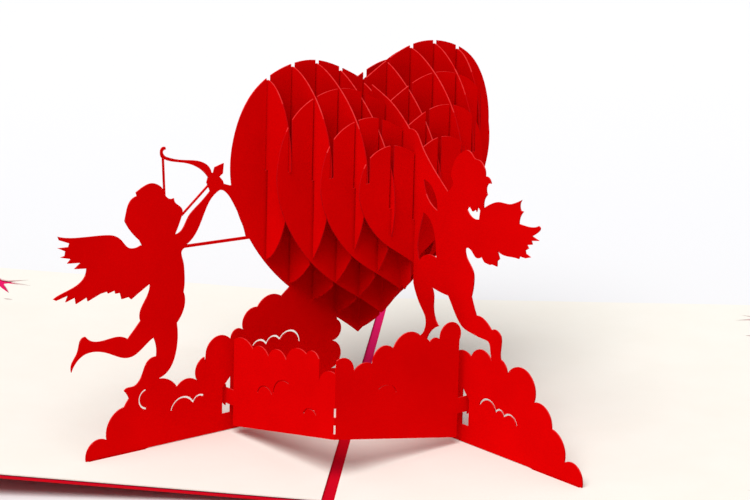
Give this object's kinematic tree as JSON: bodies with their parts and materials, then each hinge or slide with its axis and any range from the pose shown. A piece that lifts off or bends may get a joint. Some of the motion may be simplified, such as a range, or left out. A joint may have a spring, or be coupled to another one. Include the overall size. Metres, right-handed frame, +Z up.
{
  "type": "pop up card",
  "caption": "Greeting card lying open, whose paper pop-up stands over the spine: a heart of interlocking slices between a cupid archer and another cupid, on clouds cut from card.",
  "frame": {"origin": "middle of the open card's footprint, at the level of the table", "axes": "X runs across the two pages towards the right page, Y runs along the spine towards the far edge, Z is up"},
  "size_m": [0.2098, 0.15, 0.088],
  "materials": {
    "red_cover_card": "smooth red card with a faint pearl sheen",
    "cream_liner_card": "matt cream card",
    "red_popup_card": "smooth red card with a faint pearl sheen and pale cut edges"
  },
  "bodies": {
    "root": {"cover": "red_cover_card", "left_liner": "cream_liner_card", "right_liner": "cream_liner_card", "left_cupid_sheet": "red_popup_card", "right_cupid_sheet": "red_popup_card", "front_cloud_strip": "red_popup_card", "heart_slice_front_inner": "red_popup_card", "heart_slice_front_middle": "red_popup_card", "heart_slice_front_outer": "red_popup_card", "heart_slice_back_inner": "red_popup_card", "heart_slice_back_middle": "red_popup_card", "heart_slice_back_outer": "red_popup_card", "cross_slice_left_1": "red_popup_card", "cross_slice_left_2": "red_popup_card", "cross_slice_left_3": "red_popup_card", "cross_slice_left_4": "red_popup_card", "cross_slice_right_1": "red_popup_card", "cross_slice_right_2": "red_popup_card", "cross_slice_right_3": "red_popup_card", "cross_slice_right_4": "red_popup_card"}
  },
  "joints": []
}
